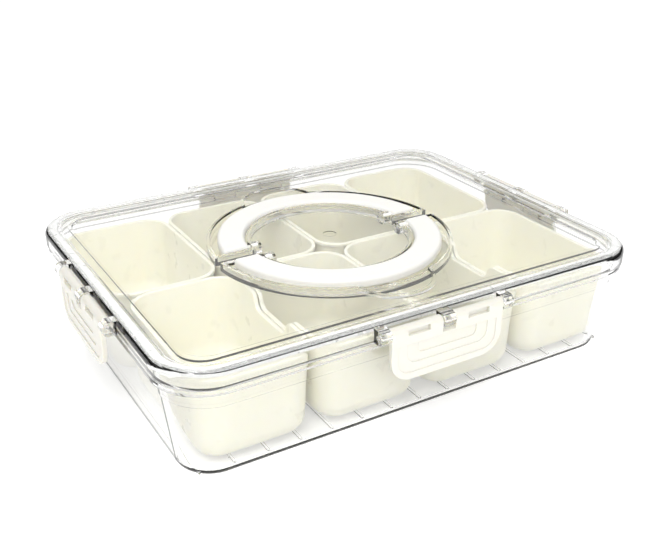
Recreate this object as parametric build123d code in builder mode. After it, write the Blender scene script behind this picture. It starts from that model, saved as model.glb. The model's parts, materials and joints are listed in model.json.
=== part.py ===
from build123d import *

import os
from math import atan, degrees

# Lidded divided serving box: clear tray and lid, eight lift-out cups, four latches, a two-piece handle.
# Millimetres. +X along the box, -Y to the front, +Z up. The origin is the centre of the tray's
# underside, which stands on z = 0. Every piece is drawn where it lies with the box closed.

# ---- the closed box -------------------------------------------------------------------------
LID_LENGTH = 320.0
LID_WIDTH = 243.2
LID_CORNER = 31.3

# ---- tray -----------------------------------------------------------------------------------
TRAY_WALL = 2.2
TRAY_FLOOR = 2.6
FOOT_INSET = 11.7           # underside outline, inwards from the lid's outline
FOOT_ROUND = 5.0
STEP_Z = 47.5               # shallow stacking step in the wall
STEP_PROUD = 0.5
RIM_INSET = 4.6             # outer face of the rim, and of the wall under the flange
RIM_CORNER = 28.1
RIM_TOP = 66.6
FLANGE_INSET = 0.8
FLANGE_BOTTOM = 57.3
FLANGE_TOP = 60.5
RIB_COUNT = 15
RIB_PITCH = 20.3
RIB_WIDTH = 1.2
RIB_HEIGHT = 1.5
RIB_LENGTH = 212.0

# ---- cups -----------------------------------------------------------------------------------
CUP_BOTTOM = TRAY_FLOOR + RIB_HEIGHT
CUP_TOP = 58.5
CUP_WIDTH = 72.0            # over the rim
CUP_LENGTH = 107.4
CUP_CORNER = 17.5
CUP_WALL = 1.7
CUP_DRAFT = 2.0             # each side, rim to bottom
CUP_ROUND = 12.0            # outside, along the bottom
CUP_PITCH = 72.7
CUP_ROW_Y = 54.0
CUP_ROW_SHIFT = 2.9         # the two loose rows lie pushed opposite ways
LIP_PROUD = 0.8
LIP_HEIGHT = 2.2
LIP_ROUND = 0.6
SCOOP_DEPTH = 10.0          # finger scoop in one side wall of each front cup
SCOOP_TOP_HALF = 25.0
SCOOP_FLAT_HALF = 13.0

# ---- lid ------------------------------------------------------------------------------------
SKIRT_BOTTOM = 61.25
SKIRT_WALL = 2.4
BEAD_TOP = 71.8
BEAD_ROUND = 4.5
BEAD_INSET = 8.7            # inner foot of the raised edge
BEAD_CORNER = 20.6
STRIP_TOP = 71.2
PANEL_INSET = 17.3
PANEL_CORNER = 15.2
PANEL_TOP = 69.9
PLATE = 2.2                 # thickness of the lid's flat parts
PANEL_SLOPE = 20            # degrees from upright, edge of the panel
GROOVE_TOP = 69.2           # roof of the groove over the tray's rim
TONGUE_OUTER_INSET = 8.2    # wall between the groove and the space over the cups
TONGUE_INNER_INSET = 9.7
TONGUE_BOTTOM = 64.0
GATE_RADIUS = 4.4
GATE_DEPTH = 0.4

# ---- half-ring pockets in the lid -----------------------------------------------------------
POCKET_OUTER = 78.0
POCKET_INNER = 54.0
POCKET_FLOOR = 64.3
POCKET_WALL = 2.0
BRIDGE_HALF = 5.6           # land that joins the lid's middle to the rest
NOTCH_Y = 70.0              # shallow finger recess at the front and at the back
NOTCH_RADIUS = 25.5
NOTCH_FLOOR = 68.2

# ---- handle ---------------------------------------------------------------------------------
HANDLE_INNER = 55.4
HANDLE_OUTER = 73.0
HANDLE_BOTTOM = 65.1
HANDLE_THICK = 6.5
HANDLE_ROUND = 2.3
HANDLE_END = 6.55           # ends of the half rings, from the middle of the lid
HANDLE_END_ROUND = 2.0
PIVOT_Y = 9.8
PIVOT_Z = HANDLE_BOTTOM + HANDLE_THICK / 2
PIVOT_PIN = 1.5
PIVOT_HOLE = 1.56
PIVOT_HOLE_START = 47.6
PIVOT_PIN_START = 48.0
PIVOT_PIN_ROOT = 57.0
BOSS_START = 46.5
BOSS_END = 53.1
BOSS_WIDTH = 8.0
BOSS_TOP = 70.9
BOSS_ROUND = 2.5

# ---- latches, measured from the hinge axis --------------------------------------------------
HINGE_OUT = 3.9             # hinge axis, outwards from the lid's outline
HINGE_Z = 66.2
EAR_RADIUS = 4.2
EAR_MIDDLE_HALF = 4.0
EAR_END_START = 38.4
EAR_END_STOP = 45.0
EAR_GAP = 0.4
BARREL_RADIUS = 3.5
LATCH_PIN = 1.5
LATCH_HOLE = 1.56
LATCH_PIN_LENGTH = 2.6
PLATE_INNER = 0.5           # plate's inner face, outwards from the axis
LATCH_DROP = 29.7           # axis to the lower edge
LATCH_CORNER = 14.0
SHOULDER_DROP = 7.0
EAR_NOTCH_DROP = 5.7
STEP_DEPTH = 0.55
STEPS = ((33.5, 25.2, 8.0), (27.5, 19.7, 6.5), (20.0, 14.7, 3.5))  # half width, drop, corner
WINDOW_START = 13.0
WINDOW_LENGTH = 14.7
WINDOW_TOP = 1.6
WINDOW_HEIGHT = 3.5
WINDOW_DEPTH = 2.2
CATCH_START = 11.0          # the catches stand at both sides of the middle
CATCH_LENGTH = 17.0
CATCH_OUT = 0.9             # outer face of the tray's catch bar, inwards from the axis
HOOK_TIP = 1.7              # the hook's tip, inwards from the axis
HOOK_DROP = 11.0
HOOK_NOSE = 0.9
HOOK_SLOPE = 2.6

# ---- seal -----------------------------------------------------------------------------------
SEAL_OUTER_INSET = 3.2
SEAL_INNER_INSET = 7.5
SEAL_GAP = 0.1

FOOT_RUN = FOOT_INSET - RIM_INSET
TRAY_TAPER = degrees(atan(FOOT_RUN / FLANGE_BOTTOM))
CUP_TAPER = degrees(atan(CUP_DRAFT / (CUP_TOP - CUP_BOTTOM)))
LATCH_HALF = EAR_END_START - EAR_GAP
LATCH_START = EAR_MIDDLE_HALF + EAR_GAP
# the name of each side's latch, its hinge's place, and its turn about Z from the front
SIDES = (
    ("front", (0, -LID_WIDTH / 2 - HINGE_OUT, HINGE_Z), 0),
    ("right", (LID_LENGTH / 2 + HINGE_OUT, 0, HINGE_Z), 90),
    ("back", (0, LID_WIDTH / 2 + HINGE_OUT, HINGE_Z), 180),
    ("left", (-LID_LENGTH / 2 - HINGE_OUT, 0, HINGE_Z), 270),
)
HINGES = [Location(place, (0, 0, turn)) for _, place, turn in SIDES]


def outline(inset, corner, mode=Mode.ADD):
    """Rounded rectangle a given distance inside the lid's outline."""
    RectangleRounded(LID_LENGTH - 2 * inset, LID_WIDTH - 2 * inset, corner, mode=mode)


def rim_outline(inset, mode=Mode.ADD):
    """Rounded rectangle at an even distance from the tray's rim."""
    outline(inset, RIM_CORNER + RIM_INSET - inset, mode)


def wall_inset(z):
    """How far the tray's drafted wall stands inside the lid's outline at a height."""
    return FOOT_INSET - FOOT_RUN * z / FLANGE_BOTTOM


def save(piece, name):
    """Label a finished piece and write it as a STEP file."""
    piece.part.label = name
    export_step(piece.part, f"parts/{name}.step")


# ---- tray -----------------------------------------------------------------------------------
def make_tray_hollow():
    """The tray's inside, drafted like its walls and rounded along the floor."""
    with BuildPart() as hollow:
        with BuildSketch(Plane.XY.offset(TRAY_FLOOR)):
            rim_outline(wall_inset(TRAY_FLOOR) + TRAY_WALL)
        extrude(amount=FLANGE_BOTTOM - TRAY_FLOOR, taper=-TRAY_TAPER)
        fillet(hollow.faces().sort_by(Axis.Z)[0].edges(), FOOT_ROUND - 1)
        with BuildSketch(Plane.XY.offset(FLANGE_BOTTOM)):
            rim_outline(RIM_INSET + TRAY_WALL)
        extrude(amount=RIM_TOP - FLANGE_BOTTOM)
    return hollow


def make_tray():
    """Clear tray: drafted wall, flange under the lid's skirt, rim, floor ribs and catch bars."""
    hollow = make_tray_hollow()
    with BuildPart() as tray:
        with BuildSketch():
            rim_outline(FOOT_INSET)
        extrude(amount=FLANGE_BOTTOM, taper=-TRAY_TAPER)
        fillet(tray.faces().sort_by(Axis.Z)[0].edges(), FOOT_ROUND)
        with BuildSketch(Plane.XY.offset(STEP_Z)):
            rim_outline(wall_inset(STEP_Z) - STEP_PROUD)
        extrude(amount=FLANGE_BOTTOM - STEP_Z, taper=-TRAY_TAPER)
        with BuildSketch(Plane.XY.offset(FLANGE_BOTTOM)):
            outline(FLANGE_INSET, LID_CORNER - FLANGE_INSET)
        extrude(amount=FLANGE_TOP - FLANGE_BOTTOM)
        with BuildSketch(Plane.XY.offset(FLANGE_TOP)):
            rim_outline(RIM_INSET)
        extrude(amount=RIM_TOP - FLANGE_TOP)
        fillet(tray.faces().sort_by(Axis.Z)[-1].edges(), TRAY_WALL / 3)
        add(hollow.part, mode=Mode.SUBTRACT)
        with BuildSketch(Plane.XY.offset(TRAY_FLOOR)):
            with GridLocations(RIB_PITCH, 0, RIB_COUNT, 1):
                SlotOverall(RIB_LENGTH, RIB_WIDTH, rotation=90)
        extrude(amount=RIB_HEIGHT)
        add_catch_bars()
    return tray


def add_catch_bars():
    """Two bars on each side's flange that the latch hooks under."""
    depth = HINGE_OUT + FLANGE_INSET - CATCH_OUT + 1
    height = FLANGE_TOP - FLANGE_BOTTOM
    with Locations(*HINGES):
        with Locations((CATCH_START, CATCH_OUT, FLANGE_BOTTOM - HINGE_Z),
                       (-CATCH_START - CATCH_LENGTH, CATCH_OUT, FLANGE_BOTTOM - HINGE_Z)):
            Box(CATCH_LENGTH, depth, height, align=Align.MIN)


# ---- cups -----------------------------------------------------------------------------------
def cup_outline(z, inset):
    """The cup's drafted plan at a height, a given distance inside its outer face."""
    cut = LIP_PROUD + inset + CUP_DRAFT * (CUP_TOP - z) / (CUP_TOP - CUP_BOTTOM)
    RectangleRounded(CUP_WIDTH - 2 * cut, CUP_LENGTH - 2 * cut, CUP_CORNER - cut)


def make_scoop(lowered):
    """What lies over the dipped edge of a +X wall: an S-curve, a flat and an S-curve."""
    top = CUP_TOP - lowered
    middle = ((SCOOP_TOP_HALF + SCOOP_FLAT_HALF) / 2, top - SCOOP_DEPTH / 2)
    with BuildPart() as scoop:
        with BuildSketch(Plane.YZ):
            with BuildLine():
                foot = TangentArc((SCOOP_FLAT_HALF, top - SCOOP_DEPTH), middle, tangent=(1, 0))
                head = TangentArc(middle, (SCOOP_TOP_HALF, top), tangent=foot % 1)
                Polyline(head @ 1, (SCOOP_TOP_HALF, top + SCOOP_DEPTH), (0, top + SCOOP_DEPTH),
                         (0, top - SCOOP_DEPTH), foot @ 0)
            make_face()
            mirror(about=Plane.YZ)
        extrude(amount=CUP_WIDTH)
    return scoop


def make_lip(scooped):
    """The thicker edge of a cup before its middle is hollowed; it follows the scoop."""
    with BuildPart() as below:
        with BuildSketch():
            Rectangle(2 * CUP_WIDTH, 2 * CUP_LENGTH)
        extrude(amount=CUP_TOP - LIP_HEIGHT)
        if scooped:
            add(make_scoop(LIP_HEIGHT).part, mode=Mode.SUBTRACT)
    with BuildPart() as lip:
        with BuildSketch(Plane.XY.offset(CUP_TOP - SCOOP_DEPTH - LIP_HEIGHT)):
            RectangleRounded(CUP_WIDTH, CUP_LENGTH, CUP_CORNER)
        extrude(amount=SCOOP_DEPTH + LIP_HEIGHT)
        add(below.part, mode=Mode.SUBTRACT)
    return lip


def lip_edges(cup):
    """The edges along the top of the lip, down and up through a scoop too."""
    upward = [face for face in cup.faces() if face.center().Z > CUP_TOP - SCOOP_DEPTH - 0.1
              and face.normal_at().Z > 0.3]
    shared = [edge for face in upward for edge in face.edges()]
    return ShapeList(edge for edge in shared if sum(edge.is_same(other) for other in shared) == 1)


def make_cup(scooped):
    """One lift-out cup over the origin. A scooped cup dips along its +X wall."""
    lip = make_lip(scooped)
    with BuildPart() as hollow:
        with BuildSketch(Plane.XY.offset(CUP_BOTTOM + CUP_WALL)):
            cup_outline(CUP_BOTTOM + CUP_WALL, CUP_WALL)
        extrude(amount=CUP_TOP - CUP_BOTTOM, taper=-CUP_TAPER)
        fillet(hollow.faces().sort_by(Axis.Z)[0].edges(), CUP_ROUND - CUP_WALL)
    with BuildPart() as cup:
        with BuildSketch(Plane.XY.offset(CUP_BOTTOM)):
            cup_outline(CUP_BOTTOM, 0)
        extrude(amount=CUP_TOP - CUP_BOTTOM, taper=-CUP_TAPER)
        fillet(cup.faces().sort_by(Axis.Z)[0].edges(), CUP_ROUND)
        add(lip.part)
        add(hollow.part, mode=Mode.SUBTRACT)
        if scooped:
            add(make_scoop(0).part, mode=Mode.SUBTRACT)
        fillet(lip_edges(cup), LIP_ROUND)
    return cup


def place_cup(blank, column, row, turn):
    """One cup in its cell. row is -1 for the front row and 1 for the rear row."""
    x = (column - 1.5) * CUP_PITCH - row * CUP_ROW_SHIFT
    with BuildPart() as cup:
        with Locations(Location((x, row * CUP_ROW_Y, 0), (0, 0, turn))):
            add(blank.part)
    return cup


# ---- lid ------------------------------------------------------------------------------------
def make_lid_shell():
    """The lid without its handle pockets and hinge ears."""
    panel_under = PANEL_TOP - PLATE
    with BuildPart() as shell:
        with BuildSketch(Plane.XY.offset(SKIRT_BOTTOM)):
            outline(0, LID_CORNER)
        extrude(amount=BEAD_TOP - SKIRT_BOTTOM)
        fillet(shell.faces().sort_by(Axis.Z)[-1].edges(), BEAD_ROUND)
        with BuildSketch(Plane.XY.offset(STRIP_TOP)):
            outline(BEAD_INSET, BEAD_CORNER)
        extrude(amount=BEAD_TOP - STRIP_TOP, mode=Mode.SUBTRACT)
        with BuildSketch(Plane.XY.offset(PANEL_TOP)):
            outline(PANEL_INSET, PANEL_CORNER)
        extrude(amount=STRIP_TOP - PANEL_TOP, taper=-PANEL_SLOPE, mode=Mode.SUBTRACT)
        with BuildSketch(Plane.XY.offset(SKIRT_BOTTOM)):
            rim_outline(SKIRT_WALL)
        extrude(amount=TONGUE_BOTTOM - SKIRT_BOTTOM, mode=Mode.SUBTRACT)
        with BuildSketch(Plane.XY.offset(TONGUE_BOTTOM)):
            rim_outline(SKIRT_WALL)
            rim_outline(TONGUE_OUTER_INSET, Mode.SUBTRACT)
        extrude(amount=GROOVE_TOP - TONGUE_BOTTOM, mode=Mode.SUBTRACT)
        with BuildSketch(Plane.XY.offset(TONGUE_BOTTOM)):
            rim_outline(TONGUE_INNER_INSET)
        extrude(amount=panel_under - TONGUE_BOTTOM, mode=Mode.SUBTRACT)
        with BuildSketch(Plane.XY.offset(panel_under)):
            rim_outline(TONGUE_INNER_INSET)
            outline(PANEL_INSET - PLATE, PANEL_CORNER, Mode.SUBTRACT)
        extrude(amount=STRIP_TOP - PANEL_TOP, mode=Mode.SUBTRACT)
    return shell


def make_pocket_cut():
    """What the two half-ring pockets and the shallow finger recesses take out of the lid."""
    with BuildPart() as cut:
        with BuildSketch(Plane.XY.offset(POCKET_FLOOR)):
            Circle(POCKET_OUTER)
            Circle(POCKET_INNER, mode=Mode.SUBTRACT)
            Rectangle(2 * POCKET_OUTER, 2 * BRIDGE_HALF, mode=Mode.SUBTRACT)
        extrude(amount=STRIP_TOP - POCKET_FLOOR)
        with BuildSketch(Plane.XY.offset(NOTCH_FLOOR)):
            with Locations((0, NOTCH_Y), (0, -NOTCH_Y)):
                Circle(NOTCH_RADIUS)
            Circle(POCKET_INNER, mode=Mode.SUBTRACT)
        extrude(amount=STRIP_TOP - NOTCH_FLOOR)
    return cut


def make_ear(start, stop):
    """One hinge ear of the lid, about the hinge axis, from one x to another."""
    root = HINGE_OUT + SKIRT_WALL - 0.4
    with BuildPart() as ear:
        with BuildSketch(Plane.YZ.offset(start)):
            Circle(EAR_RADIUS)
            with Locations((root / 2, 0)):
                Rectangle(root, 2 * EAR_RADIUS)
            Circle(LATCH_HOLE, mode=Mode.SUBTRACT)
        extrude(amount=stop - start)
    return ear


def make_lid():
    """Clear lid with the handle's pockets and pivots, and three hinge ears on every side."""
    shell = make_lid_shell()
    pocket = make_pocket_cut()
    ears = [make_ear(-EAR_MIDDLE_HALF, EAR_MIDDLE_HALF), make_ear(EAR_END_START, EAR_END_STOP),
            make_ear(-EAR_END_STOP, -EAR_END_START)]
    under = POCKET_FLOOR - POCKET_WALL
    with BuildPart() as lid:
        add(shell.part)
        with BuildSketch(Plane.XY.offset(under)):
            Circle(POCKET_OUTER + POCKET_WALL)
            Circle(POCKET_INNER - POCKET_WALL, mode=Mode.SUBTRACT)
        extrude(amount=PANEL_TOP - PLATE - under)
        with BuildSketch(Plane.XY.offset(NOTCH_FLOOR - POCKET_WALL)):
            with Locations((0, NOTCH_Y), (0, -NOTCH_Y)):
                Circle(NOTCH_RADIUS + POCKET_WALL)
            Circle(POCKET_INNER, mode=Mode.SUBTRACT)
        extrude(amount=PANEL_TOP - NOTCH_FLOOR)
        add(pocket.part, mode=Mode.SUBTRACT)
        bridge_length = POCKET_OUTER - POCKET_INNER + 3 * POCKET_WALL
        with BuildSketch(Plane.XY.offset(under)):
            bridge_x = (POCKET_OUTER + POCKET_INNER) / 2
            with Locations((bridge_x, 0), (-bridge_x, 0)):
                Rectangle(bridge_length, 2 * (BRIDGE_HALF - POCKET_WALL))
        extrude(amount=PANEL_TOP - PLATE - under, mode=Mode.SUBTRACT)
        for x in (BOSS_START, -BOSS_END):
            with BuildSketch(Plane.YZ.offset(x)):
                with Locations((PIVOT_Y, (under + BOSS_TOP) / 2), (-PIVOT_Y, (under + BOSS_TOP) / 2)):
                    RectangleRounded(BOSS_WIDTH, BOSS_TOP - under, BOSS_ROUND)
            extrude(amount=BOSS_END - BOSS_START)
        for x in (PIVOT_HOLE_START, -POCKET_INNER):
            with BuildSketch(Plane.YZ.offset(x)):
                with Locations((PIVOT_Y, PIVOT_Z), (-PIVOT_Y, PIVOT_Z)):
                    Circle(PIVOT_HOLE)
            extrude(amount=POCKET_INNER - PIVOT_HOLE_START, mode=Mode.SUBTRACT)
        with BuildSketch(Plane.XY.offset(PANEL_TOP - GATE_DEPTH)):
            Circle(GATE_RADIUS)
        extrude(amount=GATE_DEPTH, mode=Mode.SUBTRACT)
        with Locations(*HINGES):
            for ear in ears:
                add(ear.part)
    return lid


def make_seal():
    """Soft ring that fills the lid's groove and meets the rim of the tray."""
    bottom = RIM_TOP + SEAL_GAP
    with BuildPart() as seal:
        with BuildSketch(Plane.XY.offset(bottom)):
            rim_outline(SEAL_OUTER_INSET)
            rim_outline(SEAL_INNER_INSET, Mode.SUBTRACT)
        extrude(amount=GROOVE_TOP - bottom)
    return seal


# ---- latches --------------------------------------------------------------------------------
def make_latch():
    """One latch about its hinge axis: barrels, stub pins, stepped plate and two hooks."""
    thickness = BARREL_RADIUS - PLATE_INNER
    with BuildPart() as latch:
        with BuildSketch(Plane.XZ.offset(PLATE_INNER)) as face:
            with Locations((0, -LATCH_DROP / 2)):
                Rectangle(2 * LATCH_HALF, LATCH_DROP)
            fillet(face.vertices().group_by(Axis.Y)[0], LATCH_CORNER)
        extrude(amount=thickness)
        fillet(latch.faces().sort_by(Axis.Y)[0].edges().filter_by_position(
            Axis.Z, -LATCH_DROP - 1, -0.5), 0.8)
        for depth, (half, drop, corner) in enumerate(STEPS, start=1):
            with BuildSketch(Plane.XZ.offset(BARREL_RADIUS - depth * STEP_DEPTH)) as step:
                with Locations((0, -(SHOULDER_DROP + drop) / 2)):
                    Rectangle(2 * half, drop - SHOULDER_DROP)
                fillet(step.vertices().group_by(Axis.Y)[0], corner)
            extrude(amount=depth * STEP_DEPTH, mode=Mode.SUBTRACT)
        with BuildSketch(Plane.YZ.offset(-LATCH_HALF)):
            Circle(BARREL_RADIUS)
        extrude(amount=2 * LATCH_HALF)
        with Locations((0, 0, -EAR_NOTCH_DROP)):
            Box(2 * LATCH_START, 4 * BARREL_RADIUS, 4 * BARREL_RADIUS,
                align=(Align.CENTER, Align.CENTER, Align.MIN), mode=Mode.SUBTRACT)
        window_top = WINDOW_TOP - WINDOW_HEIGHT / 2
        for x in (WINDOW_START + WINDOW_LENGTH / 2, -WINDOW_START - WINDOW_LENGTH / 2):
            with Locations((x, -BARREL_RADIUS + WINDOW_DEPTH / 2, window_top)):
                Box(WINDOW_LENGTH, WINDOW_DEPTH, WINDOW_HEIGHT, mode=Mode.SUBTRACT)
        for x in (CATCH_START, -CATCH_START - CATCH_LENGTH):
            with BuildSketch(Plane.YZ.offset(x)):
                Polygon((-PLATE_INNER - 0.5, -HOOK_DROP), (HOOK_TIP, -HOOK_DROP),
                        (HOOK_TIP, -HOOK_DROP - HOOK_NOSE),
                        (-PLATE_INNER - 0.5, -HOOK_DROP - HOOK_NOSE - HOOK_SLOPE), align=None)
            extrude(amount=CATCH_LENGTH)
        for x in (LATCH_HALF, -LATCH_HALF - LATCH_PIN_LENGTH, -LATCH_START,
                  LATCH_START - LATCH_PIN_LENGTH):
            with BuildSketch(Plane.YZ.offset(x)):
                Circle(LATCH_PIN)
            extrude(amount=LATCH_PIN_LENGTH)
    return latch


# ---- handle ---------------------------------------------------------------------------------
def make_handle_half():
    """The front half ring, folded flat, with a stub pin inwards from each end."""
    middle = (HANDLE_INNER + HANDLE_OUTER) / 2
    with BuildPart() as half:
        with BuildSketch(Plane.XZ):
            with Locations((middle, PIVOT_Z)):
                RectangleRounded(HANDLE_OUTER - HANDLE_INNER, HANDLE_THICK, HANDLE_ROUND)
        revolve(axis=Axis.Z, revolution_arc=-180)
        with Locations((0, 0, PIVOT_Z)):
            Box(3 * HANDLE_OUTER, 2 * HANDLE_END, 3 * HANDLE_THICK, mode=Mode.SUBTRACT)
        fillet(half.faces().filter_by(Plane.XZ).edges(), HANDLE_END_ROUND)
        for x in (PIVOT_PIN_START, -PIVOT_PIN_ROOT):
            with BuildSketch(Plane.YZ.offset(x)):
                with Locations((-PIVOT_Y, PIVOT_Z)):
                    Circle(PIVOT_PIN)
            extrude(amount=PIVOT_PIN_ROOT - PIVOT_PIN_START)
    return half


# ---- all pieces -----------------------------------------------------------------------------
os.makedirs("parts", exist_ok=True)
save(make_tray(), "base_tray")
save(make_lid(), "lid")
save(make_seal(), "lid_seal")

front_cup = make_cup(scooped=True)
rear_cup = make_cup(scooped=False)
for column in range(4):
    # neighbouring front cups are turned about, so their scoops face each other in pairs
    save(place_cup(front_cup, column, -1, 180 * (column % 2)), f"cup_front_{column + 1}")
    save(place_cup(rear_cup, column, 1, 0), f"cup_rear_{column + 1}")

latch_blank = make_latch()
for (side, _, _), hinge in zip(SIDES, HINGES):
    with BuildPart() as latch_piece:
        with Locations(hinge):
            add(latch_blank.part)
    save(latch_piece, f"latch_{side}")

handle_front = make_handle_half()
save(handle_front, "handle_front")
with BuildPart() as handle_back:
    with Locations(Location((0, 0, 0), (0, 0, 180))):
        add(handle_front.part)
save(handle_back, "handle_back")
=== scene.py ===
import json
from math import cos, radians, sin

import bpy
from mathutils import Matrix, Vector


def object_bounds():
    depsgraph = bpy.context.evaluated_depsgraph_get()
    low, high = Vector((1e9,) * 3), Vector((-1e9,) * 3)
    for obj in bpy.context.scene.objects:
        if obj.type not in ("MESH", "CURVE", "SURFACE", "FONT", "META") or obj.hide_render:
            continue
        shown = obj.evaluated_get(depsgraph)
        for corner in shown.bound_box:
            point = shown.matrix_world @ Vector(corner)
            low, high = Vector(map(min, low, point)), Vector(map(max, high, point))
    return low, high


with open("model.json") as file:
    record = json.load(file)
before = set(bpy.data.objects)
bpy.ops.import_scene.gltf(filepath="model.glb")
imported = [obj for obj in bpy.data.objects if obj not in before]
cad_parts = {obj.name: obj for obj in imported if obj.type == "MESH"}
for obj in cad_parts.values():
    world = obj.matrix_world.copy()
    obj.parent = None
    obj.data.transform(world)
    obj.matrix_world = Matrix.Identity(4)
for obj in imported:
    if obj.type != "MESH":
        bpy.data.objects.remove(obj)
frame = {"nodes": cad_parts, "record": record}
cad_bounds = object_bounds()

# The object's own measures, from the frame, in metres.
LOW, HIGH = (Vector(corner) for corner in cad_bounds)
SPAN = HIGH - LOW
SLOT_OF = {part["node"]: part["material_slot"] for part in frame["record"]["subparts"]}

# ---- camera ---------------------------------------------------------------------------------
CAMERA_AZIMUTH = -30.86         # degrees, 0 looks along +Y
CAMERA_ELEVATION = 26.05
CAMERA_ROLL = 0.27
CAMERA_DISTANCE = 0.6325
CAMERA_ASIDE = -0.0004          # where the view's middle passes the origin, sideways and up
CAMERA_RAISED = 0.0348
CAMERA_LENS = 50.49             # millimetres, like the sensor's width
CAMERA_SENSOR = 36

# ---- surfaces -------------------------------------------------------------------------------
CREAM = (0.95, 0.93, 0.82), (0.935, 0.91, 0.765)        # each colour drifts between two tones
IVORY = (0.815, 0.80, 0.735), (0.79, 0.77, 0.70)
WHITE = (0.975, 0.965, 0.92), (0.96, 0.945, 0.895)
CLEAR_BODY = (0.99, 0.99, 0.984, 1)
CLEAR_SHADE = (0.99, 0.99, 0.985)       # what one clear wall leaves of a lamp's light
SEAL_BODY = (0.97, 0.975, 0.97, 1)
SEAL_SHADE = (0.6, 0.6, 0.59)

FLOW_WAVES = 28                 # waves per metre: the clear plastic's slow waviness,
DRIFT_WAVES = 22                # the drift of a colour,
GLOSS_WAVES = 90                # uneven gloss,
SILICONE_WAVES = 160            # the seal's uneven gloss
GRAIN_WAVES = 1400              # and the fine grain of moulded plastic
EDGE_RADIUS = 0.0004            # how far moulded edges look rounded, in metres

# ---- studio ---------------------------------------------------------------------------------
FLOOR_REACH = 14                # half the floor's side, in object lengths
FLOOR_GAP = 0.0002              # metres under the object
FLOOR_GLOW = 0.38
DARK_TO, BRIGHT_FROM = 0.16, 0.42       # the surroundings' heights, as parts of a sphere's radius
DARKEST, BRIGHTEST = 0.1, 0.76          # and their strengths there
CLEAR_WALLS = 32                # transparent surfaces that a ray may pass
BOUNCES = 16


def make_camera():
    """Camera at the given angle and distance, looking past the object's origin."""
    azimuth, elevation = radians(CAMERA_AZIMUTH), radians(CAMERA_ELEVATION)
    back = Vector((sin(azimuth) * cos(elevation), -cos(azimuth) * cos(elevation), sin(elevation)))
    right = Vector((cos(azimuth), sin(azimuth), 0))
    up = back.cross(right)
    roll = radians(CAMERA_ROLL)
    right, up = right * cos(roll) + up * sin(roll), up * cos(roll) - right * sin(roll)
    data = bpy.data.cameras.new("camera")
    data.lens = CAMERA_LENS
    data.sensor_width = CAMERA_SENSOR
    camera = bpy.data.objects.new("camera", data)
    place = right * CAMERA_ASIDE + up * CAMERA_RAISED + back * CAMERA_DISTANCE
    camera.matrix_world = Matrix.Translation(place) @ Matrix((right, up, back)).transposed().to_4x4()
    bpy.context.collection.objects.link(camera)
    bpy.context.scene.camera = camera


# ---- node helpers ---------------------------------------------------------------------------
def new_material(name):
    """An empty node material: its tree, a way to add nodes and its output."""
    material = bpy.data.materials.new(name)
    material.use_nodes = True
    tree = material.node_tree
    tree.nodes.clear()
    return material, tree, tree.nodes.new("ShaderNodeOutputMaterial")


def add_node(tree, kind, values=(), **properties):
    """A node with its properties set and its input sockets filled by name."""
    node = tree.nodes.new(kind)
    for key, value in properties.items():
        setattr(node, key, value)
    for key, value in dict(values).items():
        node.inputs[key].default_value = value
    return node


def noise(tree, scale, detail=2.0):
    """Noise in the object's own coordinates; scale is in waves per metre."""
    place = add_node(tree, "ShaderNodeTexCoord")
    texture = add_node(tree, "ShaderNodeTexNoise", {"Scale": scale, "Detail": detail})
    tree.links.new(place.outputs["Object"], texture.inputs["Vector"])
    return texture.outputs["Fac"]


def spread(tree, source, low, high):
    """A noise's middle stretch mapped to a range of values."""
    span = add_node(tree, "ShaderNodeMapRange", {
        "From Min": 0.3, "From Max": 0.7, "To Min": low, "To Max": high})
    tree.links.new(source, span.inputs["Value"])
    return span.outputs["Result"]


def tint(tree, factor, first, second):
    """A colour between two others."""
    mix = add_node(tree, "ShaderNodeMix", data_type="RGBA")
    mix.inputs["A"].default_value = (*first, 1)
    mix.inputs["B"].default_value = (*second, 1)
    tree.links.new(factor, mix.inputs["Factor"])
    return mix.outputs["Result"]


def let_lamps_through(tree, shader, output, colour):
    """Send a shader to the output, but let lamps' rays pass it as a plain tint."""
    clear = add_node(tree, "ShaderNodeBsdfTransparent", {"Color": (*colour, 1)})
    path = add_node(tree, "ShaderNodeLightPath")
    mix = add_node(tree, "ShaderNodeMixShader")
    tree.links.new(path.outputs["Is Shadow Ray"], mix.inputs[0])
    tree.links.new(shader.outputs[0], mix.inputs[1])
    tree.links.new(clear.outputs[0], mix.inputs[2])
    tree.links.new(mix.outputs[0], output.inputs["Surface"])


# ---- materials ------------------------------------------------------------------------------
def clear_material(name):
    """Clear moulded styrene: refracts, lets lamps through, and has a faint flow waviness."""
    material, tree, output = new_material(name)
    shader = add_node(tree, "ShaderNodeBsdfPrincipled", {
        "Base Color": CLEAR_BODY, "Roughness": 0.015, "IOR": 1.5, "Transmission Weight": 1.0})
    bump = add_node(tree, "ShaderNodeBump", {"Strength": 0.012, "Distance": 0.0004})
    tree.links.new(noise(tree, FLOW_WAVES, 1.0), bump.inputs["Height"])
    tree.links.new(bump.outputs["Normal"], shader.inputs["Normal"])
    let_lamps_through(tree, shader, output, CLEAR_SHADE)
    return material


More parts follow.
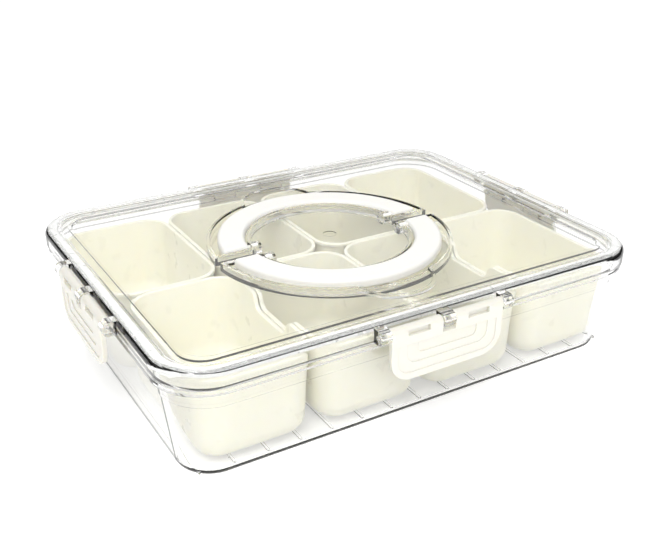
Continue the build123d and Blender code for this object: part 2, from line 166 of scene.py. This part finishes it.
def moulded_material(name, tones, rough, grain, glow):
    """Opaque moulded plastic: slight colour drift, uneven gloss, fine grain and soft edges."""
    material, tree, output = new_material(name)
    shader = add_node(tree, "ShaderNodeBsdfPrincipled", {
        "IOR": 1.5, "Subsurface Weight": glow, "Subsurface Radius": (0.9, 0.75, 0.45),
        "Subsurface Scale": 0.003, "Coat Weight": 0.15, "Coat Roughness": 0.12})
    drift = noise(tree, DRIFT_WAVES, 3.0)
    tree.links.new(tint(tree, drift, *tones), shader.inputs["Base Color"])
    gloss = spread(tree, noise(tree, GLOSS_WAVES, 4.0), rough - 0.04, rough + 0.05)
    tree.links.new(gloss, shader.inputs["Roughness"])
    bevel = add_node(tree, "ShaderNodeBevel", {"Radius": EDGE_RADIUS}, samples=4)
    bump = add_node(tree, "ShaderNodeBump", {"Strength": grain, "Distance": 0.0002})
    tree.links.new(noise(tree, GRAIN_WAVES), bump.inputs["Height"])
    tree.links.new(bevel.outputs["Normal"], bump.inputs["Normal"])
    tree.links.new(bump.outputs["Normal"], shader.inputs["Normal"])
    tree.links.new(shader.outputs[0], output.inputs["Surface"])
    return material


def seal_material(name):
    """Milky translucent silicone, half matt."""
    material, tree, output = new_material(name)
    shader = add_node(tree, "ShaderNodeBsdfPrincipled", {
        "Base Color": SEAL_BODY, "IOR": 1.41, "Transmission Weight": 0.35,
        "Subsurface Weight": 0.5, "Subsurface Radius": (1.0, 1.0, 0.95), "Subsurface Scale": 0.003})
    tree.links.new(spread(tree, noise(tree, SILICONE_WAVES), 0.25, 0.4), shader.inputs["Roughness"])
    let_lamps_through(tree, shader, output, SEAL_SHADE)
    return material


def dress_frame():
    """Give each CAD node the material of its slot."""
    made = {
        "clear": clear_material("clear_styrene"),
        "seal": seal_material("clear_silicone"),
        "cream": moulded_material("cream_plastic", CREAM, rough=0.30, grain=0.10, glow=0.3),
        "ivory": moulded_material("ivory_plastic", IVORY, rough=0.34, grain=0.12, glow=0.4),
        "white": moulded_material("white_plastic", WHITE, rough=0.36, grain=0.12, glow=0.10),
    }
    for node, obj in frame["nodes"].items():
        for slot in obj.material_slots:
            slot.material = made[SLOT_OF[node]]


# ---- studio ---------------------------------------------------------------------------------
def make_floor():
    """Large pale floor, a little bright of itself, as under a light tent."""
    reach = FLOOR_REACH * SPAN.x
    mesh = bpy.data.meshes.new("floor")
    corners = [(-reach, -reach, 0), (reach, -reach, 0), (reach, reach, 0), (-reach, reach, 0)]
    mesh.from_pydata(corners, [], [(0, 1, 2, 3)])
    floor = bpy.data.objects.new("floor", mesh)
    floor.location.z = LOW.z - FLOOR_GAP
    bpy.context.collection.objects.link(floor)
    material, tree, output = new_material("pale_floor")
    shader = add_node(tree, "ShaderNodeBsdfPrincipled", {
        "Base Color": (0.88, 0.88, 0.88, 1), "Roughness": 0.9, "Emission Color": (1, 1, 1, 1),
        "Emission Strength": FLOOR_GLOW})
    tree.links.new(shader.outputs[0], output.inputs["Surface"])
    mesh.materials.append(material)


def make_lamp(name, place, size, power, mirrored=True):
    """Square soft lamp that looks at the object's middle; place and size in object lengths."""
    data = bpy.data.lights.new(name, "AREA")
    data.size = size * SPAN.x
    data.energy = power
    lamp = bpy.data.objects.new(name, data)
    lamp.location = Vector(place) * SPAN.x
    aim = (LOW + HIGH) / 2 - lamp.location
    lamp.rotation_euler = aim.to_track_quat("-Z", "Y").to_euler()
    lamp.visible_glossy = mirrored
    lamp.visible_transmission = mirrored
    bpy.context.collection.objects.link(lamp)


def make_world():
    """Bright surroundings over a dark band at the horizon, which draws the clear edges.

    Seen directly they are white, like the floor.
    """
    world = bpy.data.worlds.new("studio")
    bpy.context.scene.world = world
    world.use_nodes = True
    tree = world.node_tree
    tree.nodes.clear()
    place = add_node(tree, "ShaderNodeTexCoord")
    split = add_node(tree, "ShaderNodeSeparateXYZ")
    ramp = add_node(tree, "ShaderNodeMapRange", {
        "From Min": DARK_TO, "From Max": BRIGHT_FROM, "To Min": DARKEST, "To Max": BRIGHTEST})
    path = add_node(tree, "ShaderNodeLightPath")
    brighter = add_node(tree, "ShaderNodeMath", operation="MAXIMUM")
    background = add_node(tree, "ShaderNodeBackground", {"Color": (1, 1, 1, 1)})
    output = add_node(tree, "ShaderNodeOutputWorld")
    tree.links.new(place.outputs["Generated"], split.inputs[0])
    tree.links.new(split.outputs["Z"], ramp.inputs["Value"])
    tree.links.new(ramp.outputs["Result"], brighter.inputs[0])
    tree.links.new(path.outputs["Is Camera Ray"], brighter.inputs[1])
    tree.links.new(brighter.outputs["Value"], background.inputs["Strength"])
    tree.links.new(background.outputs[0], output.inputs["Surface"])


def make_studio():
    """Floor, surroundings, three soft lamps, and enough bounces for many clear walls in a row."""
    make_floor()
    make_world()
    make_lamp("key", (-1.4, -1.6, 3.0), 2.0, 5.2)
    make_lamp("fill", (0.2, -3.2, 1.0), 2.2, 2.8, mirrored=False)
    make_lamp("rear", (0.6, 3.2, 2.0), 2.4, 4, mirrored=False)
    scene = bpy.context.scene
    scene.view_settings.view_transform = "Standard"
    scene.cycles.transparent_max_bounces = CLEAR_WALLS
    scene.cycles.max_bounces = BOUNCES
    scene.cycles.transmission_bounces = BOUNCES


make_camera()
dress_frame()
make_studio()
